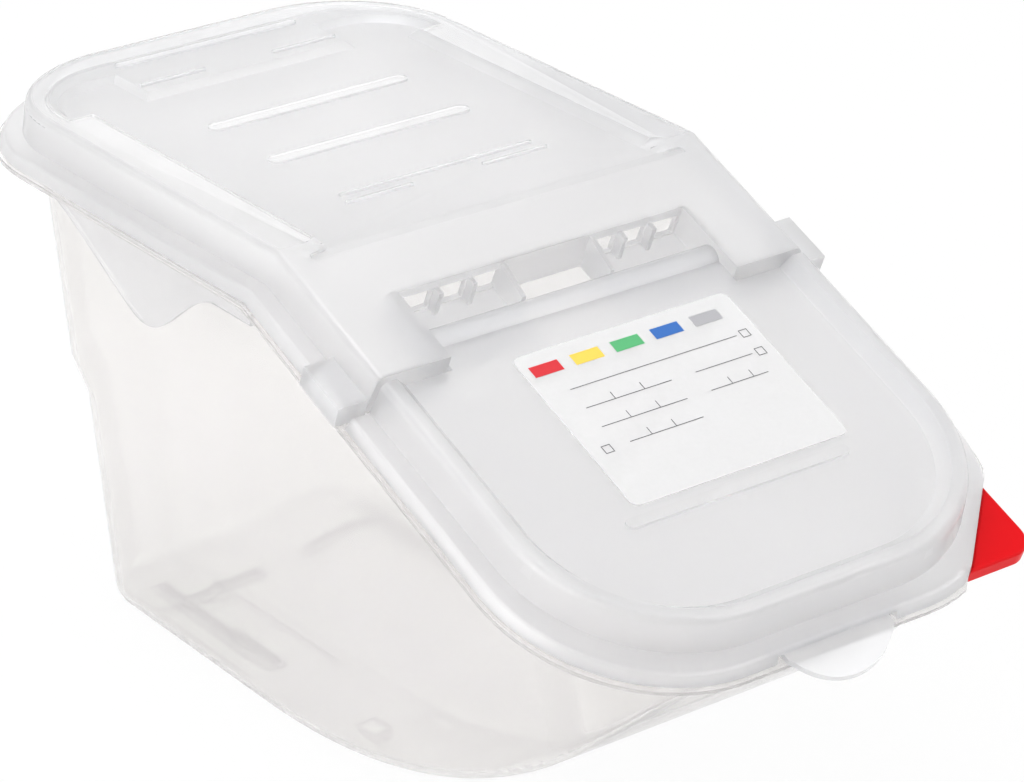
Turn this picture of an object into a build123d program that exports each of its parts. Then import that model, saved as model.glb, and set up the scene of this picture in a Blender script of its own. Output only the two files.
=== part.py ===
from build123d import *
import math
import os

# Ingredient container with a fixed rear lid, a hinged front flap and a colour clip.
# Millimetres. X is across, -Y is the front with the flap, +Z is up.
# The origin is on the plane that the feet stand on, under the middle of the part.
# Heights on the rim are counted from the stacking panel of the rear lid. The rim is level
# at the back and falls to the front from the bend line. Places on it are counted from the bend.

# Overall sizes
half_width = 99.2         # middle to the edge of the rim flange
panel_height = 199.0      # stacking panel above the ground
slope_angle = 22.6        # fall of the front part of the rim
level_reach = 206.1       # bend to the back edge of the rim flange
slope_reach = 204.4       # bend to the front edge of the rim flange, along the slope
rear_corner = 62.0        # corners of the rim flange at the back
front_corner = 62.0       # corners of the rim flange at the front

# Rim flange of the bin
flange_drop = 13.6        # flange top below the stacking panel
flange_thick = 1.8
mouth_inset = 22.8        # flange edge in to the outside of the side walls
mouth_front_inset = 18.8
mouth_rear_inset = 13.6
bead_inset = 5.6          # locating bead, inside the skirt of the lids
bead_width = 1.8
bead_height = 2.2

# Bin
wall = 1.8
side_lean = 3.7           # draft of the side walls
rear_lean = 3.4
shoulder_top = 100.6      # nesting shoulder of the rear wall, below the stacking panel
shoulder_foot = 112.2
shoulder_depth = 8.9
upright_corner_top = 33.0
upright_corner_foot = 29.0
bow_corner_top = 54.0     # upright corners at the front
bow_corner_foot = 40.0
floor_front = 154.0       # front end of the flat floor, from the back of the rim
belly_radius = 291.0      # underside, from the floor up to the front
bottom_round = 6.0
foot_height = 1.5
foot_width = 7.4
foot_groove = 3.8         # hollow inside each foot rib
foot_across = 45.6        # middle to a foot rib
foot_rear = 53.4          # foot ribs, from the back of the rim
foot_front = 135.8
foot_bar = 71.3
foot_bar_break = 9.7      # half of the gap in the cross rib
rest_front = 203.0        # two short front rests, under the start of the belly
rest_length = 12.0

# Hand grips hanging from the rim flange
apron_inset = 2.0
apron_thick = 1.8
apron_drop = 5.8          # below the underside of the flange
grip_drop = 29.0
grip_centre = 67.0        # behind the bend
grip_half_length = 32.0
apron_end = 128.0

# Cover: shared section of the lid and the flap, insets from the flange edge
sheet = 1.8
seat_gap = 0.3
skirt_inset = 1.4
skirt_top_inset = 3.3
skirt_round = 1.6
ledge_drop = 9.2
ring_foot_inset = 9.9
ring_top_inset = 11.9
ring_height = 3.3
ring_round = 3.0

# Stacking panel of the lid, inside the ring
panel_side_inset = 31.9   # flange edge in to the panel
panel_rear_inset = 60.3
panel_corner = 3.0
shelf_side_inset = 19.8   # shelf behind the panel, inside the ring's crest
shelf_rear_inset = 26.7
shelf_depth = 38.4
shelf_corner = 34.0
shelf_height = 2.5
pocket_side_inset = 23.4  # panel's two rear corners, beside the shelf
pocket_rear_inset = 38.0
pocket_width = 30.8
pocket_depth = 24.1
pocket_corner = 24.0
arm_end = -4.0            # front end of the ring's arms
arm_inset = 22.2
arm_round = 4.0

# Marks moulded on the stacking panel, centres counted from the bend
bar_half_length = 42.0
bar_width = 6.6
bar_height = 0.9
bar_places = (109.1, 71.1)
line_half_length = 40.2
line_width = 1.6
line_place = 31.5
dash_inner = 14.5
dash_outer = 42.0
dash_place = 24.7
rear_dash_inset = 51.8    # from the back edge of the rim flange
rear_bar_inset = 29.7
rear_bar_half_length = 39.0
rear_bar_width = 4.0

# Flap
flap_start = 64.4
flap_panel_drop = 1.0
flap_panel_side_inset = 22.0
flap_panel_front_inset = 21.4
flap_panel_corner = 48.0
ridge_half_length = 45.5
ridge_place = 144.0
ridge_width = 4.0
ridge_height = 1.2
tab_half_width = 21.6
tab_round = 27.5
tab_reach = 10.4          # beyond the rim flange, along the slope
tab_tip_drop = 17.6
tab_thick = 1.8
finger_recess = 4.0

# Hinge
lid_end = 62.4            # front edge of the lid beside the flap, from the bend
ear_start = 41.6
ear_out = 1.5             # ear beyond the flange
ear_drop = 5.3
ear_gap = 1.0
housing_inset = 40.2      # flange edge in to the housing
housing_start = 30.6
housing_floor = 11.2      # below the stacking panel plane
housing_wall = 2.0
hinge_place = 50.0
hinge_drop = 3.6
barrel_radius = 5.0
barrel_bore = 3.2
barrel_gap = 0.4
pin_radius = 2.6
pin_gap = 0.1
bay_left = -15.8          # open bay between the two stations
bay_right = 19.4
left_ribs = (-43.2, -29.5)
right_ribs = (32.8, 45.2)
rib_thick = 1.6
rib_depth = 3.6           # ribs between the windows, in front of the housing's rear wall
window_edge = 0.4         # housing wall left beside a rib, at each side of a window
window_head = -0.2        # top of the windows
catch_height = 4.2

# Colour clip on the front right corner of the rim flange
clip_cut = 46.6           # chamfer: this much off across plus along the slope
clip_side_inset = 9.8     # clip's side edge, inside the flange edge
clip_front_inset = 7.2
clip_line_gap = 0.3       # between the clip and the flange's chamfer
clip_round = 9.0
clip_skin = 1.5
clip_gap = 0.15
clip_edge = 1.0
tongue_half_width = 9.0
tongue_reach = 11.0
chamfer_gap = 0.5

# Label on the flap
label_left = -38.0
label_right = 51.0
label_start = 67.5
label_end = 138.0
label_thick = 0.3
label_round = 3.0

# Derived places
sin_a = math.sin(math.radians(slope_angle))
cos_a = math.cos(math.radians(slope_angle))
tab_tip = slope_reach + tab_reach
length = level_reach + tab_tip * cos_a - tab_tip_drop * sin_a
rear = length / 2
bend_y = rear - level_reach
far = 2 * length
overrun = 80.0            # how far each half of the rim is drawn past the bend
panel_half_width = half_width - panel_side_inset
arm_half_width = half_width - arm_inset
shelf_half_width = half_width - shelf_side_inset
shelf_back = level_reach - shelf_rear_inset
pocket_outer = half_width - pocket_side_inset
pocket_back = level_reach - pocket_rear_inset
flap_panel_half_width = half_width - flap_panel_side_inset
flap_panel_front = slope_reach - flap_panel_front_inset
clip_line = half_width + slope_reach - clip_cut
clip_across = half_width - clip_side_inset
clip_front = slope_reach - clip_front_inset
level = Plane(origin=(0, bend_y, panel_height))
slope = Plane(origin=(0, bend_y, panel_height), x_dir=(1, 0, 0), z_dir=(0, -sin_a, cos_a))
mitre = Plane(
    origin=(0, bend_y, panel_height),
    x_dir=(1, 0, 0),
    z_dir=(0, math.cos(math.radians(slope_angle / 2)), math.sin(math.radians(slope_angle / 2))),
)
behind_bend = mitre * Pos(0, 0, far / 2) * Box(far, far, far)
before_bend = mitre * Pos(0, 0, -far / 2) * Box(far, far, far)
skirt_foot = flange_drop - seat_gap


def rounded(x_half, back, front, back_corner, front_corner_radius):
    """Rectangle from front to back with its own corner radius at each end."""
    face = Pos(0, (back + front) / 2) * Rectangle(2 * x_half, back - front)
    corners = face.vertices().sort_by(Axis.Y)
    if back_corner > 0:
        face = fillet(corners[-2:], back_corner)
        corners = face.vertices().sort_by(Axis.Y)
    if front_corner_radius > 0:
        face = fillet(corners[:2], front_corner_radius)
    return face


def level_ring(inset):
    """Outline of the rim's level part, this far inside the flange edge."""
    return rounded(half_width - inset, level_reach - inset, -overrun, rear_corner - inset, 0)


def slope_ring(inset):
    """Outline of the rim's sloping part. Its corners keep more of their radius."""
    return rounded(
        half_width - inset, overrun, inset - slope_reach, 0, front_corner - inset * 0.3)


def stack(outline, low, high, top_round=0):
    """Solid from one inset and height to another, with a rounded top edge."""
    (low_inset, low_height), (high_inset, high_height) = low, high
    rise = high_height - low_height
    lean = math.degrees(math.atan((high_inset - low_inset) / rise))
    body = extrude(outline(low_inset), rise, taper=lean)
    if top_round:
        body = fillet(body.faces().sort_by(Axis.Z)[-1].edges(), top_round)
    return Pos(0, 0, low_height) * body


def bent(low, high, top_round=0):
    """The same section carried round the level part and the sloping part."""
    back = level * stack(level_ring, low, high, top_round) & behind_bend
    front = slope * stack(slope_ring, low, high, top_round) & before_bend
    return back + front


def block(frame, x0, x1, v0, v1, n0, n1):
    """Box between these places in a rim frame: across, behind the bend, above the panel."""
    box = Box(x1 - x0, v1 - v0, n1 - n0)
    return frame * Pos((x0 + x1) / 2, (v0 + v1) / 2, (n0 + n1) / 2) * box


def side_block(x0, x1, s0, s1, n0, n1):
    """Box on the slope, with s counted forward from the bend."""
    return block(slope, x0, x1, -s1, -s0, n0, n1)


def pocket(frame, x_half, back, front, back_corner, front_round, floor, height):
    """Recess with walls at 45 degrees, open above the given height."""
    low = rounded(x_half, back, front, back_corner, front_round)
    return frame * Pos(0, 0, floor) * extrude(low, height - floor, taper=-45)


def side_view(frame, x):
    """Plane across the part at x: its own X runs back along the rim, its Y runs up."""
    return Plane(origin=frame.from_local_coords((x, 0, 0)), x_dir=frame.y_dir, z_dir=(1, 0, 0))


def rod(x0, x1, radius):
    """Cylinder on the hinge line."""
    middle = slope.from_local_coords(((x0 + x1) / 2, -hinge_place, -hinge_drop))
    return Plane(origin=middle, z_dir=(1, 0, 0)) * Cylinder(radius, x1 - x0)


def across(frame, profile, x, thick):
    """Side profile carried across the part from x."""
    return extrude(side_view(frame, x) * profile, thick, dir=(1, 0, 0))


def slot_bar(frame, x0, x1, v, width, n, height):
    """Raised bar with round ends."""
    face = Pos((x0 + x1) / 2, v) * SlotOverall(x1 - x0, width)
    return extrude(frame * Pos(0, 0, n) * face, height)


# Cover section shared by the lid and the flap
skirt = bent((skirt_inset, -skirt_foot), (skirt_top_inset, -ledge_drop), skirt_round)
ring = bent((ring_foot_inset, -ledge_drop - 1), (ring_top_inset, ring_height), ring_round)
skirt_void = bent(
    (skirt_inset + sheet, -skirt_foot - 1),
    (skirt_top_inset + sheet * 0.9, -ledge_drop - sheet))
ring_void = bent(
    (ring_foot_inset + sheet, -ledge_drop - sheet - 1),
    (ring_top_inset + sheet, ring_height - sheet))
cover = skirt + ring
cover_void = skirt_void + ring_void
skin_lean = sheet * (math.sqrt(2) - 1)


def shell(panel, panel_boss):
    """Cover with a recessed panel, hollow below."""
    return cover - panel - (cover_void - panel_boss)


def corner_cut(line):
    """Everything beyond a line across the front right corner, on the slope."""
    reach = half_width + 20
    middle = (line / 2, -line / 2, 0)
    away = slope.x_dir * math.sqrt(0.5) - slope.y_dir * math.sqrt(0.5)
    frame = Plane(origin=slope.from_local_coords(middle), x_dir=away, z_dir=slope.z_dir)
    return frame * Pos(reach / 2, 0, 0) * Box(reach, 2 * reach, 2 * reach)


# Rear lid


def lid_recess(grow, floor):
    """Stacking panel, wider before the ring's arms."""
    plan = rounded(
        panel_half_width + grow, level_reach - panel_rear_inset + grow, -overrun,
        panel_corner, 0)
    plan = plan + rounded(arm_half_width + grow, arm_end + grow, -overrun, arm_round, 0)
    notch = plan.vertices().filter_by(
        lambda p: abs(p.Y - arm_end - grow) < 0.01 and abs(abs(p.X) - panel_half_width - grow) < 0.01)
    plan = fillet(notch, arm_round)
    return level * Pos(0, 0, floor) * extrude(plan, 6 - floor, taper=-45)


def lid_corner(side, grow, floor):
    """Rear corner of the stacking panel, beside the shelf and wider than the panel."""
    outer = pocket_outer + grow
    inner = pocket_outer - pocket_width - grow
    back = pocket_back + grow
    front = pocket_back - pocket_depth - grow
    plan = Pos(side * (outer + inner) / 2, (back + front) / 2) * Rectangle(outer - inner, back - front)
    plan = fillet(plan.vertices().sort_by(lambda p: p.Y + side * p.X)[-1], pocket_corner)
    return level * Pos(0, 0, floor) * extrude(plan, 6 - floor, taper=-45)


def lid_shelf(grow, floor):
    """Shelf behind the panel, a little below the ring's crest."""
    plan = rounded(
        shelf_half_width + grow, shelf_back + grow, shelf_back - shelf_depth - grow, shelf_corner, 0)
    return level * Pos(0, 0, floor) * extrude(plan, 6 - floor, taper=-45)


def lid_top(grow, drop):
    """Everything cut out inside the ring: panel, its rear corners and the shelf."""
    top = lid_recess(grow, -drop) + lid_corner(-1, grow, -drop) + lid_corner(1, grow, -drop)
    return top + lid_shelf(grow, shelf_height - drop)


lid_panel = lid_top(0, 0)
lid_boss = lid_top(skin_lean, sheet)
lid = shell(lid_panel, lid_boss)
lid = lid & block(slope, -far, far, -lid_end, far, -far, far)
closing = cover & side_block(-far, far, lid_end - sheet, lid_end, bead_height - flange_drop + 0.5, 9)
lid = lid + closing
ear_top = side_block(
    -half_width - ear_out, half_width + ear_out, ear_start, lid_end, -skirt_foot, -ear_drop)
ear_core = side_block(
    -half_width + sheet, half_width - sheet, ear_start + sheet, lid_end - sheet,
    -skirt_foot - 1, -ear_drop - sheet)
ear_inner = side_block(
    ring_foot_inset - half_width, half_width - ring_foot_inset, ear_start - 5, lid_end + 5, -far, far)
lid = lid + (ear_top - ear_core - ear_inner)
for side in (-1, 1):
    x_near = side * (half_width - skirt_top_inset - 3)
    x_far = side * (half_width + 5)
    lid = lid - side_block(
        min(x_near, x_far), max(x_near, x_far), ear_start - ear_gap, ear_start,
        -skirt_foot - 2, ring_height)

# Hinge housing: open bay, rear wall with windows, side walls, jaws, ribs and catches
w = half_width - housing_inset
lid = lid - side_block(-w, w, housing_start, lid_end + 1, -far, far)
rear_wall = side_block(
    -w - housing_wall, w + housing_wall, housing_start - housing_wall, housing_start,
    -housing_floor, ring_height - 0.6)
lid = lid + rear_wall
for side in (-1, 1):
    x0 = side * w
    x1 = side * (w + housing_wall + 0.4)
    lid = lid + side_block(
        min(x0, x1), max(x0, x1), housing_start - housing_wall, lid_end,
        -housing_floor, ring_height - 0.6)
jaw_top = -hinge_drop - barrel_radius - barrel_gap
jaw_end = hinge_place + barrel_radius + barrel_gap + housing_wall
for x0, x1, ribs in ((-w, bay_left, left_ribs), (bay_right, w, right_ribs)):
    lid = lid + side_block(x0, x1, housing_start - 1, jaw_end, -housing_floor, jaw_top)
    edges = [x0] + list(ribs) + [x1]
    for a, b in zip(edges, edges[1:]):
        lid = lid - side_block(
            a + rib_thick / 2 + window_edge, b - rib_thick / 2 - window_edge,
            housing_start - housing_wall - 1, housing_start + 0.01, jaw_top + 0.6, window_head)
    for x in ribs:
        lid = lid + side_block(
            x - rib_thick / 2, x + rib_thick / 2, housing_start - 0.5,
            housing_start + rib_depth, jaw_top - 0.5, 0.6)
    lid = lid + side_block(
        ribs[0], ribs[1], jaw_end - housing_wall, jaw_end, jaw_top - 0.5, jaw_top + catch_height)
for x in (bay_left - rib_thick / 2, bay_right + rib_thick / 2):
    cheek = Polygon(
        (-housing_start + 0.5, ring_height - 0.6),
        (-hinge_place + barrel_radius + barrel_gap, -0.6),
        (-hinge_place + barrel_radius + barrel_gap, jaw_top - 0.5),
        (-housing_start + 0.5, jaw_top - 0.5),
        align=None,
    )
    lid = lid + across(slope, cheek, x - rib_thick / 2, rib_thick)
pin_end = w + housing_wall + 0.4
lid = lid - rod(-pin_end - 1, pin_end + 1, pin_radius + pin_gap)

# Marks on the stacking panel and on the shelf behind it
for v in bar_places:
    lid = lid + slot_bar(level, -bar_half_length, bar_half_length, v, bar_width, -0.5, bar_height + 0.5)
lid = lid + slot_bar(
    level, -line_half_length, line_half_length, line_place, line_width, -0.5, bar_height + 0.5)
lid = lid + slot_bar(
    level, -rear_bar_half_length, rear_bar_half_length, level_reach - rear_bar_inset, rear_bar_width,
    shelf_height - 0.5, bar_height + 0.5)
for v, base in ((dash_place, -0.5), (level_reach - rear_dash_inset, shelf_height - 0.5)):
    for x0, x1 in ((-dash_outer, -dash_inner), (dash_inner, dash_outer)):
        lid = lid + slot_bar(level, x0, x1, v, line_width, base, bar_height + 0.5)

# Front flap
flap_panel = pocket(
    slope, flap_panel_half_width, overrun, -flap_panel_front, 0, flap_panel_corner,
    -flap_panel_drop, 6)
flap_boss = pocket(
    slope, flap_panel_half_width + skin_lean, overrun, -flap_panel_front - skin_lean, 0,
    flap_panel_corner, -flap_panel_drop - sheet, 6)
recess_half = tab_half_width + 3
recess_wall = slope_reach - skirt_inset - finger_recess
recess = side_block(-recess_half, recess_half, recess_wall, far, -far, -ledge_drop - 1.5)
recess_boss = side_block(
    -recess_half - sheet, recess_half + sheet, recess_wall - sheet, far, -far, -ledge_drop + 1)
front_cover = cover - recess - corner_cut(clip_line - chamfer_gap)
front_void = cover_void - flap_boss - recess_boss
front_void = front_void - corner_cut(clip_line - chamfer_gap - sheet * math.sqrt(2))
flap = front_cover - flap_panel - front_void
flap = flap & side_block(-far, far, flap_start, far, -far, far)
closing = (cover - flap_panel) & side_block(
    -far, far, flap_start, flap_start + sheet, bead_height - flange_drop + 0.5, 9)
flap = flap + closing

# Barrel, its web to the flap and its pins
flap = flap - side_block(-w - 2, w + 2, 0, flap_start + sheet, -far, -flap_panel_drop - sheet)
barrel_half = w - 0.4
barrel = rod(-barrel_half, barrel_half, barrel_radius)
bore = rod(-barrel_half + sheet, barrel_half - sheet, barrel_bore)
bore = bore + side_block(
    -barrel_half + sheet, barrel_half - sheet, hinge_place - barrel_bore * 0.8,
    hinge_place + barrel_bore * 0.8, -hinge_drop - barrel_radius - 1, -hinge_drop)
web = side_block(
    -barrel_half, barrel_half, hinge_place, flap_start + 1, -flap_panel_drop - sheet,
    -flap_panel_drop)
flap = flap + (barrel + web - bore) + rod(-pin_end + 0.4, pin_end - 0.4, pin_radius) - bore

# Ridge, lift tab
flap = flap + slot_bar(
    slope, -ridge_half_length, ridge_half_length, -ridge_place, ridge_width,
    -flap_panel_drop - 0.5, ridge_height + 0.5)
tab_knee = slope_reach + 1
tab_side = Polygon(
    (-recess_wall + 0.9, -skirt_foot),
    (-tab_knee, -skirt_foot),
    (-tab_tip, -tab_tip_drop),
    (-tab_tip, -tab_tip_drop + tab_thick),
    (-tab_knee - 0.6, -skirt_foot + tab_thick),
    (-recess_wall + 0.9, -skirt_foot + tab_thick),
    align=None,
)
tab = across(slope, tab_side, -tab_half_width, 2 * tab_half_width)
tab_plan = Pos(0, tab_round - tab_tip) * Circle(tab_round)
tab_plan = tab_plan & rounded(tab_half_width, 0.5 - recess_wall, -tab_tip - 1, 0, 0)
tab = tab & extrude(slope * Pos(0, 0, -40) * tab_plan, 60)
flap = flap + tab

# Colour clip: a flat sleeve over the tongue at the corner of the flange
clip_top = -flange_drop + clip_skin + clip_gap
clip_foot = -flange_drop - flange_thick - clip_skin - clip_gap
inner_line = clip_line + clip_line_gap
clip_plan = Polygon(
    (clip_across, -clip_front),
    (clip_across, clip_across - inner_line),
    (inner_line - clip_front, -clip_front),
    align=None,
)
clip_corner = clip_plan.vertices().sort_by(lambda p: p.X - p.Y)[-1]
clip_plan = fillet(clip_corner, clip_round)
clip = extrude(slope * Pos(0, 0, clip_foot) * clip_plan, clip_top - clip_foot)
up_faces = clip.faces().sort_by(lambda f: f.center().dot(slope.z_dir))
clip = fillet(up_faces[-1].edges(), clip_edge)
tongue_x = (clip_across + inner_line - clip_front) / 2
tongue_place = slope.from_local_coords(
    (tongue_x, tongue_x - inner_line, -flange_drop - flange_thick / 2))
outward = slope.x_dir * math.sqrt(0.5) - slope.y_dir * math.sqrt(0.5)
tongue_frame = Plane(origin=tongue_place, x_dir=outward, z_dir=slope.z_dir)
tongue = tongue_frame * Pos(tongue_reach / 2 - 1, 0, 0) * Box(
    tongue_reach + 2, 2 * tongue_half_width, flange_thick)
socket = tongue_frame * Pos(tongue_reach / 2 - 1, 0, 0) * Box(
    tongue_reach + 2 + 2 * clip_gap, 2 * (tongue_half_width + clip_gap),
    flange_thick + 2 * clip_gap)
clip = clip - socket

# Label
label_plan = Pos((label_left + label_right) / 2, -(label_start + label_end) / 2) * RectangleRounded(
    label_right - label_left, label_end - label_start, label_round)
label = extrude(slope * Pos(0, 0, -flap_panel_drop) * label_plan, label_thick)

# Bin: upright walls with draft and a nesting shoulder, cut below by the floor and the belly
rim_z = panel_height - flange_drop
mouth_front = slope_reach - mouth_front_inset
bow_y = bend_y - mouth_front * cos_a + flange_drop * sin_a
floor_y = rear - floor_front
floor_z = foot_height
belly_z = floor_z + belly_radius


def walls(inset):
    """Drafted walls, this far inside their outer face."""
    rings = []
    levels = (panel_height + 20, panel_height - shoulder_top, panel_height - shoulder_foot, -20)
    for z in levels:
        down = rim_z - z
        x_half = half_width - mouth_inset - down * math.tan(math.radians(side_lean)) - inset
        back = rear - mouth_rear_inset - down * math.tan(math.radians(rear_lean)) - inset
        if z < panel_height - shoulder_top - 1:
            back = back - shoulder_depth
        low = min(1, max(0, down / rim_z))
        back_corner = upright_corner_top + (upright_corner_foot - upright_corner_top) * low
        bow_corner = bow_corner_top + (bow_corner_foot - bow_corner_top) * low
        face = rounded(x_half, back, bow_y + inset, back_corner - inset, bow_corner - inset)
        rings.append(Pos(0, 0, z) * face)
    return loft(rings, ruled=True)


def belly(inset):
    """Side view of the bin above its floor and the curved front, this far inside."""
    radius = belly_radius - inset
    end_y = bow_y + inset
    sweep = math.asin((floor_y - end_y) / radius)
    end = (end_y, belly_z - radius * math.cos(sweep))
    middle = (floor_y - radius * math.sin(sweep / 2), belly_z - radius * math.cos(sweep / 2))
    line = Polyline(
        end, (end_y, panel_height + 15), (rear + 20, panel_height + 15),
        (rear + 20, floor_z + inset), (floor_y, floor_z + inset))
    side = make_face(line + ThreePointArc((floor_y, floor_z + inset), middle, end))
    frame = Plane(origin=(-far / 2, 0, 0), x_dir=(0, 1, 0), z_dir=(1, 0, 0))
    return extrude(frame * side, far, dir=(1, 0, 0))


def on_belly(edge, inset):
    """Whether an edge runs round the underside."""
    middle = edge.position_at(0.5)
    if middle.Y > floor_y + 1:
        return abs(middle.Z - floor_z - inset) < 0.05
    if abs(middle.X) < 1 and middle.Y > bow_y + inset + 5:
        return False
    reach = math.hypot(middle.Y - floor_y, middle.Z - belly_z)
    return abs(reach - belly_radius + inset) < 0.05


def vessel(inset):
    """Closed body of the bin, this far inside, with its underside rounded."""
    body = walls(inset) & belly(inset)
    edges = body.edges().filter_by(lambda e: on_belly(e, inset))
    return fillet(edges, bottom_round - inset * 0.8)


under_level = block(level, -far / 2, far / 2, -far, far, -far, -flange_drop) & behind_bend
under_slope = block(slope, -far / 2, far / 2, -far, far, -far, -flange_drop) & before_bend
under_rim = under_level + under_slope
flange = bent((0, -flange_drop - flange_thick), (0, -flange_drop))
flange = flange - corner_cut(clip_line) + tongue
body = (vessel(0) & under_rim) + flange


def foot_block(x, across_size, back, front, low=0):
    """Foot from the ground up into the floor, placed from the back of the rim."""
    height = foot_height + 8
    size = Box(across_size, front - back, height)
    return Pos(x, rear - (back + front) / 2, low + height / 2) * size


for side in (-1, 1):
    x = side * foot_across
    body = body + foot_block(x, foot_width, foot_rear, foot_front)
    body = body + foot_block(x, foot_width, rest_front - rest_length, rest_front)
    middle_x = side * (foot_bar_break + foot_across) / 2
    body = body + foot_block(
        middle_x, foot_across - foot_bar_break, foot_bar - foot_width / 2,
        foot_bar + foot_width / 2)
bin_body = body - vessel(wall)
foot_edge = (foot_width - foot_groove) / 2
for side in (-1, 1):
    bin_body = bin_body - foot_block(
        side * foot_across, foot_groove, foot_rear + foot_edge, foot_front - foot_edge, wall)
    middle_x = side * (foot_bar_break + foot_across) / 2
    bin_body = bin_body - foot_block(
        middle_x, foot_across - foot_bar_break - 2 * foot_edge, foot_bar - foot_groove / 2,
        foot_bar + foot_groove / 2, wall)
bead = bent((bead_inset, -flange_drop - 0.5), (bead_inset, bead_height - flange_drop))
bead = bead - bent(
    (bead_inset + bead_width, -flange_drop - 1),
    (bead_inset + bead_width, bead_height - flange_drop + 1))
bead = bead - corner_cut(clip_line - chamfer_gap - 3 * bead_width)
bead = bead - side_block(-far, far, ear_start - 2, lid_end + 1, -far, far)
bead = bead - side_block(-recess_half - 3, recess_half + 3, recess_wall - 10, far, -far, far)
bin_body = bin_body + bead

# Hand grips
rim_under = -flange_drop - flange_thick + 0.5
grip_edge = Polyline(
    (0, -flange_drop - flange_thick - apron_drop),
    (0, rim_under),
    (apron_end, rim_under)) + Spline(
    (apron_end, rim_under),
    (grip_centre + grip_half_length * 1.25, -flange_drop - flange_thick - apron_drop * 1.6),
    (grip_centre + grip_half_length * 0.5, -flange_drop - grip_drop * 0.85),
    (grip_centre, -flange_drop - flange_thick - grip_drop),
    (grip_centre - grip_half_length * 0.75, -flange_drop - grip_drop * 0.62),
    (grip_centre - grip_half_length * 1.35, -flange_drop - flange_thick - apron_drop)) + Line(
    (grip_centre - grip_half_length * 1.35, -flange_drop - flange_thick - apron_drop),
    (0, -flange_drop - flange_thick - apron_drop))
grip_face = make_face(grip_edge)
for x in (half_width - apron_inset - apron_thick, apron_inset - half_width):
    bin_body = bin_body + across(level, grip_face, x, apron_thick)

os.makedirs("parts", exist_ok=True)
nodes = {
    "bin": bin_body,
    "rear_lid": lid,
    "front_flap": flap,
    "colour_clip": clip,
    "label": label,
}
for name, solid in nodes.items():
    export_step(solid, "parts/" + name + ".step")
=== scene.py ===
"""Looks for a translucent ingredient container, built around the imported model."""

import math

import bmesh
import bpy
from bpy.props import (
    FloatProperty,
    FloatVectorProperty,
    IntProperty,
    PointerProperty,
)
from mathutils import Matrix, Vector


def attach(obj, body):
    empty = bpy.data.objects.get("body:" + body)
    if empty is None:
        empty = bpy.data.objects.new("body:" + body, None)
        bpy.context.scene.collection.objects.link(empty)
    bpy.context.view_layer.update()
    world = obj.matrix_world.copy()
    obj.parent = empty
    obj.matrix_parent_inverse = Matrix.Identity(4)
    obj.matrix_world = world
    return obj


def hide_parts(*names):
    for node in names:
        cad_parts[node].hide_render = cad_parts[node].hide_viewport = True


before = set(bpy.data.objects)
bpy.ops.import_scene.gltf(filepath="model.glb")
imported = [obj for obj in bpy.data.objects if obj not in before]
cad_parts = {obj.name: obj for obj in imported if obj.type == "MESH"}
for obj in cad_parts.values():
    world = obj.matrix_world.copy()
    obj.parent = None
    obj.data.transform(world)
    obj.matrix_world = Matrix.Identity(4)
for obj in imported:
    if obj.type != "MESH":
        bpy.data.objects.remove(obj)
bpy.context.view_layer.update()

bl_info = {
    "name": "Ingredient container",
    "version": (1, 0, 0),
    "blender": (4, 5, 0),
    "location": "3D View > Sidebar > Container",
    "description": "Finishes and small parts of a translucent ingredient container",
    "category": "Add Mesh",
}

# The sloping part of the rim: where the panels bend, and how far the slope falls
BEND_Y = -0.0073
PANEL_Z = 0.199
SLOPE = math.radians(22.6)

# Heights above the stacking panel: the shelf at the back, the flap's panel, and the flat tops of
# the bars and of the ring
SHELF = 0.0025
FLAP_PANEL = -0.001
CRESTS = (0.0009, 0.0033, 0.0034)
PANEL_MARGIN = 0.0002
CREST_MARGIN = 0.00005

# Where the bin's hand grips hang: how far out, inside and outside, and how high. Their faces are darkened:
# painted shade under the rim flange
GRIP_INSIDE = 0.0952
GRIP_OUTSIDE = 0.0974
GRIP_TOP = 0.1832

# The foot ribs: where they start, the height they stand to, and the faces of the groove inside,
# with a margin
# These faces are darkened: painted shade, as if light were trapped in the ribs and their groove
RIB_FRONT = 0.06
RIB_TOP = 0.0014
GROOVE_FACES = ((0.0018, 0.0001), (0.00255, 0.0002))

# Joining the moulding's loose triangles, and which edges stay sharp
MERGE_WITHIN = 0.000002
FLAT_ANGLE = math.radians(0.4)
SHARP_ANGLE = math.radians(38)
ROUND_SEGMENTS = 2

# Frosted plastic: soft clouds in the haze and the tone, and a fine grain on the skin
CLOUD_SCALE = 38.0
CLOUD_RANGE = (0.3, 0.7)
CLOUD_TONE = 0.985
HAZE_SPREAD = 0.045
GRAIN_STRENGTH = 0.12
GRAIN_HEIGHT = 0.0001
PLASTIC_IOR = 1.42
GLOSS_ROUGHNESS = 0.08

# Glossy plastic of the clip
PEEL_SCALE = 900.0
PEEL_STRENGTH = 0.1
CLIP_TONE_SCALE = 120.0
CLIP_TONE = 0.9
CLIP_SPECULAR = 0.1

# Film and inks
SPECK_SCALE = 600.0
SPECK_TONE = 0.96
FILM_ALPHA = 0.35
FILM_ROUGHNESS = 0.35
LINE_ROUGHNESS = 0.5
PATCH_ROUGHNESS = 0.45

# Floor, and how much of it and of the sky shows as plain white: straight on, and by a bounce
FLOOR_HALF = 6.0
FLOOR_DROP = 0.0002
FLOOR_SHOWN = (0.94, 0.55)
SKY_SHOWN = (1.0, 1.0)

# Lamps: name, place, target, width in metres, and share of the lamp power
LAMPS = (
    ("lamp_left", (-1.45, -0.1, 0.7), (0, 0, 0.1), 1.6, 0.85),
    ("lamp_right", (1.3, -1.2, 0.9), (0, 0, 0.1), 2.0, 0.5),
    ("lamp_back", (0.77, 1.27, 0.74), (0, 0.1, 0.2), 0.5, 0.02),
    ("lamp_top", (-0.2, 0.2, 1.7), (0, 0, 0.1), 1.3, 0.56),
)

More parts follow.
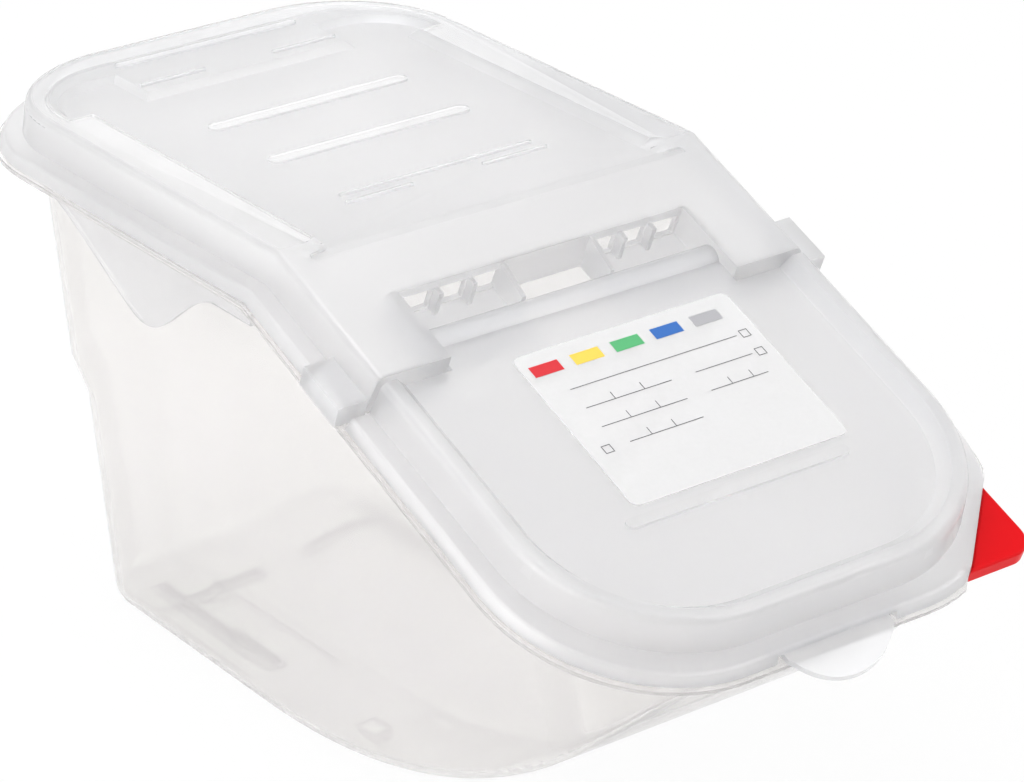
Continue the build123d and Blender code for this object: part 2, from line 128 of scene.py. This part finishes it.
# The photograph's viewpoint
CAMERA_PLACE = (-0.748723, -1.036381, 0.726493)
CAMERA_TURN = math.radians(-36.3367)
CAMERA_DOWN = math.radians(25.2227)
CAMERA_ROLL = math.radians(0.4304)
CAMERA_LENS = 144.12
CAMERA_SENSOR = 36.0

# Print on the label, in metres. Ruled lines: way down the slope from the bend, left and right end,
# and where ticks stand. Check boxes: place across, and way down the slope
RULED_LINES = (
    (0.0865, -0.027, 0.042, ()),
    (0.0955, -0.027, 0.008, (-0.015, -0.003)),
    (0.0955, 0.018, 0.042, ()),
    (0.1045, -0.027, 0.008, (-0.015, -0.003)),
    (0.1045, 0.018, 0.042, (0.027, 0.036)),
    (0.1135, -0.022, 0.008, (-0.013, -0.003)),
)
LABEL_TOP = -0.0007
TICK = 0.0032
CHECK_BOXES = ((0.0455, 0.0865), (0.0455, 0.0955), (-0.031, 0.1135))
BOX_SIDE = 0.0032
PATCHES = (
    ("red", (0.62, 0.01, 0.02)),
    ("yellow", (0.85, 0.6, 0.08)),
    ("green", (0.08, 0.42, 0.16)),
    ("blue", (0.02, 0.13, 0.45)),
    ("grey", (0.4, 0.4, 0.42)),
)
PATCH_X = -0.029
PATCH_S = 0.0755
PATCH_STEP = 0.0165
PATCH_WIDE = 0.0115
PATCH_DEEP = 0.0048


class PlasticFinish(bpy.types.PropertyGroup):
    """Frosted plastic of the bin, the lid and the flap."""

    tint: FloatVectorProperty(
        name="Bin tint",
        description="Colour of the bin's frosted plastic",
        subtype="COLOR",
        size=3,
        min=0,
        max=1,
        default=(0.946, 0.93, 0.921),
    )
    cover_tint: FloatVectorProperty(
        name="Cover tint",
        description="Colour of the lid's and the flap's frosted plastic",
        subtype="COLOR",
        size=3,
        min=0,
        max=1,
        default=(0.96, 0.962, 0.976),
    )
    frost: FloatProperty(
        name="Frost",
        description="How much the walls of the bin spread the light",
        subtype="FACTOR",
        min=0,
        max=1,
        default=0.05,
    )
    rim_frost: FloatProperty(
        name="Rim frost",
        description="How much the rims of the lid and the flap spread the light",
        subtype="FACTOR",
        min=0,
        max=1,
        default=0.33,
    )
    rim_gloss: FloatProperty(
        name="Rim gloss",
        description="Strength of the clear shine on the rims of the lid and the flap",
        subtype="FACTOR",
        min=0,
        max=1,
        default=0.5,
    )
    matt: FloatProperty(
        name="Panel frost",
        description="How much the textured panels spread the light",
        subtype="FACTOR",
        min=0,
        max=1,
        default=0.5,
    )
    polish: FloatProperty(
        name="Crest frost",
        description="How much the polished crests and bars spread the light",
        subtype="FACTOR",
        min=0,
        max=1,
        default=0.15,
    )
    # Darkening of the grips: painted shade under the rim flange, not a tint of the plastic
    grip_painted_shade: FloatProperty(
        name="Grip tone",
        description="Tint of the hand grips against the walls",
        subtype="FACTOR",
        min=0,
        max=1,
        default=0.86,
    )
    # Darkening of the foot ribs: painted shade, as if light were trapped in them, not a tint of the
    # plastic
    rib_painted_shade: FloatProperty(
        name="Rib tone",
        description="Tint of the thick foot ribs against the walls",
        subtype="FACTOR",
        min=0,
        max=1,
        default=0.5,
    )
    clearness: FloatProperty(
        name="Clearness",
        description="Share of the light that goes through",
        subtype="FACTOR",
        min=0,
        max=1,
        default=0.84,
    )
    cover: FloatProperty(
        name="Cover",
        description="Share of each surface that isn't simply seen through",
        subtype="FACTOR",
        min=0,
        max=1,
        default=0.75,
    )
    grain: FloatProperty(
        name="Grain",
        description="Size of the moulded skin's grain",
        subtype="DISTANCE",
        unit="LENGTH",
        default=0.0011,
    )
    edge_round: FloatProperty(
        name="Edge rounding",
        description="Radius on the sheet's edges",
        subtype="DISTANCE",
        unit="LENGTH",
        default=0.0004,
    )


class ClipFinish(bpy.types.PropertyGroup):
    """Glossy plastic of the corner clip."""

    colour: FloatVectorProperty(
        name="Colour",
        description="Colour of the clip",
        subtype="COLOR",
        size=3,
        min=0,
        max=1,
        default=(0.73, 0.002, 0.006),
    )
    roughness: FloatProperty(
        name="Roughness",
        description="Roughness of the clip's skin",
        subtype="FACTOR",
        min=0,
        max=1,
        default=0.35,
    )


class LabelFinish(bpy.types.PropertyGroup):
    """Printed film on the flap."""

    film: FloatVectorProperty(
        name="Film",
        description="Colour of the film",
        subtype="COLOR",
        size=3,
        min=0,
        max=1,
        default=(0.93, 0.93, 0.93),
    )
    ink: FloatVectorProperty(
        name="Ink",
        description="Colour of the ruled lines",
        subtype="COLOR",
        size=3,
        min=0,
        max=1,
        default=(0.06, 0.06, 0.065),
    )
    line_width: FloatProperty(
        name="Line width",
        description="Width of the ruled lines",
        subtype="DISTANCE",
        unit="LENGTH",
        default=0.00028,
    )
    ink_thick: FloatProperty(
        name="Ink thickness",
        description="Height of the print on the film",
        subtype="DISTANCE",
        unit="LENGTH",
        default=0.00004,
    )
    patches: IntProperty(
        name="Patches",
        description="Number of colour patches in the row",
        min=1,
        max=5,
        default=5,
    )


class StudioLook(bpy.types.PropertyGroup):
    """Floor, backdrop and lamps."""

    floor: FloatVectorProperty(
        name="Floor",
        description="Colour of the floor",
        subtype="COLOR",
        size=3,
        min=0,
        max=1,
        default=(0.9, 0.9, 0.9),
    )
    sky: FloatProperty(
        name="Sky",
        description="Strength of the surrounding light",
        min=0,
        max=4,
        default=0.7,
    )
    lamp: FloatProperty(
        name="Lamp",
        description="Power in watts that each lamp has its share of",
        min=0,
        max=200,
        default=19.0,
    )


def looks():
    """The settings of this scene."""
    return bpy.context.scene


def on_slope(x, s, n):
    """Point on the sloping part: across, forward from the bend, above the panel plane."""
    return Vector((
        x,
        BEND_Y - s * math.cos(SLOPE) - n * math.sin(SLOPE),
        PANEL_Z - s * math.sin(SLOPE) + n * math.cos(SLOPE),
    ))


def slope_frame(x, s, n):
    """Matrix that lays a flat shape on the slope: its X across, its Y up the slope."""
    return Matrix.Translation(on_slope(x, s, n)) @ Matrix.Rotation(SLOPE, 4, "X")


def keep(bm, name, material, body):
    """Turns a bmesh into a piece of the object."""
    mesh = bpy.data.meshes.new(name)
    bm.normal_update()
    bm.to_mesh(mesh)
    bm.free()
    piece = bpy.data.objects.new(name, mesh)
    bpy.context.scene.collection.objects.link(piece)
    mesh.materials.append(material)
    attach(piece, body)
    return piece


def add(tree, kind, **sockets):
    """Adds a shader node and sets or links its sockets."""
    node = tree.nodes.new(kind)
    for name, value in sockets.items():
        if isinstance(value, bpy.types.NodeSocket):
            tree.links.new(value, node.inputs[name])
        else:
            node.inputs[name].default_value = value
    return node


def new_material(name):
    """A material with its node tree and its main shader."""
    material = bpy.data.materials.new(name)
    material.use_nodes = True
    tree = material.node_tree
    shader = tree.nodes["Principled BSDF"]
    return material, tree, shader


def two_tone(tree, shader, pattern, colour, dark):
    """Colours the shader by a pattern, between a darker tone and the full one."""
    ramp = tree.nodes.new("ShaderNodeValToRGB")
    ramp.color_ramp.elements[0].color = (*[c * dark for c in colour], 1)
    ramp.color_ramp.elements[1].color = (*colour, 1)
    tree.links.new(pattern.outputs["Fac"], ramp.inputs["Fac"])
    tree.links.new(ramp.outputs["Color"], shader.inputs["Base Color"])


def skin_bump(tree, shader, pattern, strength):
    """Raises a pattern on the skin."""
    bump = add(
        tree, "ShaderNodeBump", Strength=strength, Distance=GRAIN_HEIGHT, Height=pattern.outputs["Fac"])
    tree.links.new(bump.outputs["Normal"], shader.inputs["Normal"])


def frosted_plastic(name, tint, frost, painted_shade_share=1.0, gloss=0.0):
    """Translucent moulded plastic with a fine skin grain and soft clouding, its colour darkened by a share
    that paints shade.
    """
    look = looks().container_plastic
    material, tree, shader = new_material(name)
    place = add(tree, "ShaderNodeTexCoord").outputs["Object"]
    grain = add(tree, "ShaderNodeTexNoise", Vector=place, Scale=1 / look.grain, Detail=2.0)
    cloud = add(tree, "ShaderNodeTexNoise", Vector=place, Scale=CLOUD_SCALE, Detail=3.0, Roughness=0.55)
    haze = tree.nodes.new("ShaderNodeMapRange")
    tree.links.new(cloud.outputs["Fac"], haze.inputs["Value"])
    haze.inputs["From Min"].default_value = CLOUD_RANGE[0]
    haze.inputs["From Max"].default_value = CLOUD_RANGE[1]
    spread = min(HAZE_SPREAD, frost / 2)
    haze.inputs["To Min"].default_value = frost - spread
    haze.inputs["To Max"].default_value = frost + spread
    tree.links.new(haze.outputs["Result"], shader.inputs["Roughness"])
    # The share darkens the tint: painted shade on the foot ribs and the grips
    two_tone(tree, shader, cloud, [c * painted_shade_share for c in tint], CLOUD_TONE)
    skin_bump(tree, shader, grain, GRAIN_STRENGTH)
    shader.inputs["Transmission Weight"].default_value = look.clearness
    shader.inputs["IOR"].default_value = PLASTIC_IOR
    shader.inputs["Alpha"].default_value = look.cover
    shader.inputs["Coat Weight"].default_value = gloss
    shader.inputs["Coat Roughness"].default_value = GLOSS_ROUGHNESS
    return material


def gloss_plastic(name):
    """Solid glossy plastic with a faint orange-peel skin."""
    look = looks().container_clip
    material, tree, shader = new_material(name)
    place = add(tree, "ShaderNodeTexCoord").outputs["Object"]
    peel = add(tree, "ShaderNodeTexNoise", Vector=place, Scale=PEEL_SCALE, Detail=1.5)
    tone = add(tree, "ShaderNodeTexNoise", Vector=place, Scale=CLIP_TONE_SCALE)
    two_tone(tree, shader, tone, look.colour, CLIP_TONE)
    skin_bump(tree, shader, peel, PEEL_STRENGTH)
    shader.inputs["Roughness"].default_value = look.roughness
    shader.inputs["Specular IOR Level"].default_value = CLIP_SPECULAR
    return material


def film(name, colour, alpha, roughness):
    """Printed film or ink."""
    material, tree, shader = new_material(name)
    place = add(tree, "ShaderNodeTexCoord").outputs["Object"]
    speck = add(tree, "ShaderNodeTexNoise", Vector=place, Scale=SPECK_SCALE, Detail=2.0)
    two_tone(tree, shader, speck, colour, SPECK_TONE)
    shader.inputs["Roughness"].default_value = roughness
    shader.inputs["Alpha"].default_value = alpha
    return material


def rim_height(point):
    """Height above the stacking panel, on the level part or on the slope."""
    up = point.z - PANEL_Z
    if point.y > BEND_Y:
        return up
    return up * math.cos(SLOPE) - (point.y - BEND_Y) * math.sin(SLOPE)


def is_crest(place):
    """Whether a face is a polished flat top: the ring's crest or a raised bar on the panel."""
    return place.y > BEND_Y and any(abs(place.z - PANEL_Z - n) < CREST_MARGIN for n in CRESTS)


def is_grip(place):
    """Whether a face of the bin belongs to the hand grips hanging from the rim flange."""
    return GRIP_INSIDE < abs(place.x) < GRIP_OUTSIDE and place.z < GRIP_TOP


def is_foot_rib(place):
    """Whether a face of the bin belongs to a foot rib at the back or to the groove inside it."""
    in_groove = any(abs(place.z - height) < margin for height, margin in GROOVE_FACES)
    return place.y > RIB_FRONT and (place.z < RIB_TOP or in_groove)


def moulding(node, name, body, skins):
    """A moulding with its surface joined up, its edges rounded, and a skin for each kind of face.

    Each skin is a material and a test of a face's middle. The last test that holds is the one that counts.
    """
    round_edges = looks().container_plastic.edge_round
    bm = bmesh.new()
    bm.from_mesh(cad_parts[node].data)
    bmesh.ops.remove_doubles(bm, verts=bm.verts, dist=MERGE_WITHIN)
    bmesh.ops.dissolve_limit(
        bm, angle_limit=FLAT_ANGLE, verts=bm.verts, edges=bm.edges, delimit={"NORMAL"})
    for face in bm.faces:
        face.smooth = True
        place = face.calc_center_median()
        for number, (skin, belongs) in enumerate(skins):
            if belongs(place):
                face.material_index = number
    for edge in bm.edges:
        edge.smooth = not edge.is_manifold or edge.calc_face_angle(0) < SHARP_ANGLE
    piece = keep(bm, name, skins[0][0], body)
    for skin, belongs in skins[1:]:
        piece.data.materials.append(skin)
    if round_edges:
        bevel = piece.modifiers.new("round_edges", "BEVEL")
        bevel.width = round_edges
        bevel.segments = ROUND_SEGMENTS
        bevel.limit_method = "ANGLE"
        bevel.angle_limit = SHARP_ANGLE
        bevel.harden_normals = True
        bevel.use_clamp_overlap = True
    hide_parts(node)
    return piece


def bar(bm, x, s, wide, deep, thick):
    """Flat printed bar on the label film."""
    size = Matrix.Diagonal((wide, deep, thick, 1))
    bmesh.ops.create_cube(bm, size=1, matrix=slope_frame(x, s, LABEL_TOP + thick / 2) @ size)


def box_outline(bm, x, s, side, line, thick):
    """Square outline printed on the film."""
    half = side / 2
    for step in (-half, half):
        bar(bm, x, s + step, side + line, line, thick)
        bar(bm, x + step, s, line, side - line, thick)


class CONTAINER_OT_bin(bpy.types.Operator):
    """Finishes the bin"""

    bl_idname = "container.bin"
    bl_label = "Bin"

    def execute(self, context):
        look = looks().container_plastic
        moulding("bin", "bin_moulding", "bin", (
            (frosted_plastic("bin_skin", look.tint, look.frost), lambda place: True),
            # The foot ribs are darkened: painted shade in the ribs and their groove
            (frosted_plastic("foot_painted_shade_skin", look.tint, look.frost, look.rib_painted_shade), is_foot_rib),
            # The grips are darkened: painted shade under the rim flange
            (frosted_plastic("grip_painted_shade_skin", look.cover_tint, look.frost, look.grip_painted_shade), is_grip),
        ))
        return {"FINISHED"}


class CONTAINER_OT_covers(bpy.types.Operator):
    """Finishes the rear lid and the front flap"""

    bl_idname = "container.covers"
    bl_label = "Lid and flap"

    def execute(self, context):
        look = looks().container_plastic
        for node, name, body, panels in (
                ("rear_lid", "lid", "lid", (0.0, SHELF)), ("front_flap", "flap", "flap", (FLAP_PANEL,))):
            moulding(node, name + "_moulding", body, (
                (frosted_plastic(name + "_skin", look.cover_tint, look.rim_frost, gloss=look.rim_gloss),
                 lambda place: True),
                (frosted_plastic(name + "_panel_skin", look.cover_tint, look.matt),
                 lambda place: any(abs(rim_height(place) - n) < PANEL_MARGIN for n in panels)),
                (frosted_plastic(name + "_crest_skin", look.cover_tint, look.polish), is_crest),
            ))
        return {"FINISHED"}


class CONTAINER_OT_clip(bpy.types.Operator):
    """Finishes the colour clip"""

    bl_idname = "container.clip"
    bl_label = "Colour clip"

    def execute(self, context):
        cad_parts["colour_clip"].data.materials[0] = gloss_plastic("clip_skin")
        return {"FINISHED"}


class CONTAINER_OT_label(bpy.types.Operator):
    """Finishes the label film"""

    bl_idname = "container.label"
    bl_label = "Label film"

    def execute(self, context):
        look = looks().container_label
        label_skin = film("label_film", look.film, FILM_ALPHA, FILM_ROUGHNESS)
        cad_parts["label"].data.materials[0] = label_skin
        return {"FINISHED"}


class CONTAINER_OT_print(bpy.types.Operator):
    """Prints the ruled lines and the colour patches on the label"""

    bl_idname = "container.print"
    bl_label = "Label print"

    def execute(self, context):
        look = looks().container_label
        lines = bmesh.new()
        for s, x0, x1, ticks in RULED_LINES:
            bar(lines, (x0 + x1) / 2, s, x1 - x0, look.line_width, look.ink_thick)
            for x in ticks:
                bar(lines, x, s - TICK / 2, look.line_width, TICK, look.ink_thick)
        for x, s in CHECK_BOXES:
            box_outline(lines, x, s, BOX_SIDE, look.line_width, look.ink_thick)
        line_ink = film("line_ink", look.ink, 1.0, LINE_ROUGHNESS)
        keep(lines, "label_lines", line_ink, "flap")
        for number, (name, colour) in enumerate(PATCHES[:look.patches]):
            patch = bmesh.new()
            bar(patch, PATCH_X + number * PATCH_STEP, PATCH_S, PATCH_WIDE, PATCH_DEEP, look.ink_thick)
            patch_ink = film(name + "_ink", colour, 1.0, PATCH_ROUGHNESS)
            keep(patch, "patch_" + name, patch_ink, "flap")
        return {"FINISHED"}


class CONTAINER_OT_stage(bpy.types.Operator):
    """Lays the floor, hangs the lamps and sets up the camera"""

    bl_idname = "container.stage"
    bl_label = "Stage"

    def execute(self, context):
        look = looks().container_studio
        scene = context.scene
        bm = bmesh.new()
        bmesh.ops.create_grid(bm, x_segments=2, y_segments=2, size=FLOOR_HALF)
        mesh = bpy.data.meshes.new("floor")
        bm.to_mesh(mesh)
        bm.free()
        floor = bpy.data.objects.new("floor", mesh)
        scene.collection.objects.link(floor)
        floor.location.z = -FLOOR_DROP
        mesh.materials.append(white_ground("floor", look.floor))
        white_sky(scene, look.sky)
        for name, place, target, size, share in LAMPS:
            soft_lamp(name, place, target, size, look.lamp * share)
        data = bpy.data.cameras.new("camera")
        data.lens = CAMERA_LENS
        data.sensor_width = CAMERA_SENSOR
        data.sensor_fit = "HORIZONTAL"
        camera = bpy.data.objects.new("camera", data)
        scene.collection.objects.link(camera)
        camera.matrix_world = (
            Matrix.Translation(CAMERA_PLACE)
            @ Matrix.Rotation(CAMERA_TURN, 4, "Z")
            @ Matrix.Rotation(math.radians(90) - CAMERA_DOWN, 4, "X")
            @ Matrix.Rotation(-CAMERA_ROLL, 4, "Z")
        )
        scene.camera = camera
        scene.view_settings.view_transform = "Standard"
        return {"FINISHED"}


def soft_lamp(name, place, target, size, power):
    """Round area lamp that points from its place at the target."""
    data = bpy.data.lights.new(name, "AREA")
    data.shape = "DISK"
    data.size = size
    data.energy = power
    lamp = bpy.data.objects.new(name, data)
    bpy.context.scene.collection.objects.link(lamp)
    lamp.location = place
    aim = Vector(target) - Vector(place)
    lamp.rotation_euler = aim.to_track_quat("-Z", "Y").to_euler()


def seen_directly(tree, straight, bounced):
    """Share for rays straight from the camera, and for those off gloss or through the plastic."""
    path = tree.nodes.new("ShaderNodeLightPath")
    total = None
    for kind, share in (
            ("Is Camera Ray", straight), ("Is Glossy Ray", bounced), ("Is Transmission Ray", bounced)):
        part = tree.nodes.new("ShaderNodeMath")
        part.operation = "MULTIPLY"
        tree.links.new(path.outputs[kind], part.inputs[0])
        part.inputs[1].default_value = share
        if total is None:
            total = part.outputs[0]
            continue
        most = tree.nodes.new("ShaderNodeMath")
        most.operation = "MAXIMUM"
        tree.links.new(total, most.inputs[0])
        tree.links.new(part.outputs[0], most.inputs[1])
        total = most.outputs[0]
    return total


def white_ground(name, colour):
    """Pale floor that shows as white but keeps a faint shadow."""
    material = bpy.data.materials.new(name)
    material.use_nodes = True
    tree = material.node_tree
    tree.nodes.clear()
    out = tree.nodes.new("ShaderNodeOutputMaterial")
    matt = tree.nodes.new("ShaderNodeBsdfDiffuse")
    matt.inputs["Color"].default_value = (*colour, 1)
    glow = tree.nodes.new("ShaderNodeEmission")
    glow.inputs["Strength"].default_value = 1.0
    mix = tree.nodes.new("ShaderNodeMixShader")
    tree.links.new(seen_directly(tree, *FLOOR_SHOWN), mix.inputs["Fac"])
    tree.links.new(matt.outputs[0], mix.inputs[1])
    tree.links.new(glow.outputs[0], mix.inputs[2])
    tree.links.new(mix.outputs[0], out.inputs["Surface"])
    return material


def white_sky(scene, strength):
    """World that shows as white and lights softly."""
    world = bpy.data.worlds.new("studio")
    scene.world = world
    world.use_nodes = True
    tree = world.node_tree
    tree.nodes.clear()
    out = tree.nodes.new("ShaderNodeOutputWorld")
    dim = tree.nodes.new("ShaderNodeBackground")
    dim.inputs["Strength"].default_value = strength
    bright = tree.nodes.new("ShaderNodeBackground")
    bright.inputs["Strength"].default_value = 1.0
    for shade in (dim, bright):
        shade.inputs["Color"].default_value = (1, 1, 1, 1)
    mix = tree.nodes.new("ShaderNodeMixShader")
    tree.links.new(seen_directly(tree, *SKY_SHOWN), mix.inputs["Fac"])
    tree.links.new(dim.outputs[0], mix.inputs[1])
    tree.links.new(bright.outputs[0], mix.inputs[2])
    tree.links.new(mix.outputs[0], out.inputs["Surface"])


class CONTAINER_PT_parts(bpy.types.Panel):
    """Lists the steps and their settings"""

    bl_label = "Ingredient container"
    bl_idname = "CONTAINER_PT_parts"
    bl_space_type = "VIEW_3D"
    bl_region_type = "UI"
    bl_category = "Container"

    def draw(self, context):
        for step in STEPS:
            self.layout.operator(step.bl_idname)
        for group in GROUPS:
            box = self.layout.box()
            settings = getattr(context.scene, group)
            for name in settings.__annotations__:
                box.prop(settings, name)


GROUPS = {
    "container_plastic": PlasticFinish,
    "container_clip": ClipFinish,
    "container_label": LabelFinish,
    "container_studio": StudioLook,
}
STEPS = (
    CONTAINER_OT_bin,
    CONTAINER_OT_covers,
    CONTAINER_OT_clip,
    CONTAINER_OT_label,
    CONTAINER_OT_print,
    CONTAINER_OT_stage,
)


def register():
    """Adds the settings, the steps and the panel to Blender."""
    for group in GROUPS.values():
        bpy.utils.register_class(group)
    for name, group in GROUPS.items():
        setattr(bpy.types.Scene, name, PointerProperty(type=group))
    for step in STEPS:
        bpy.utils.register_class(step)
    bpy.utils.register_class(CONTAINER_PT_parts)


def unregister():
    """Takes them out again."""
    bpy.utils.unregister_class(CONTAINER_PT_parts)
    for step in reversed(STEPS):
        bpy.utils.unregister_class(step)
    for name, group in GROUPS.items():
        delattr(bpy.types.Scene, name)
        bpy.utils.unregister_class(group)


def main():
    """Builds every piece in order."""
    register()
    for step in STEPS:
        space, name = step.bl_idname.split(".")
        getattr(getattr(bpy.ops, space), name)()


if __name__ == "__main__":
    main()
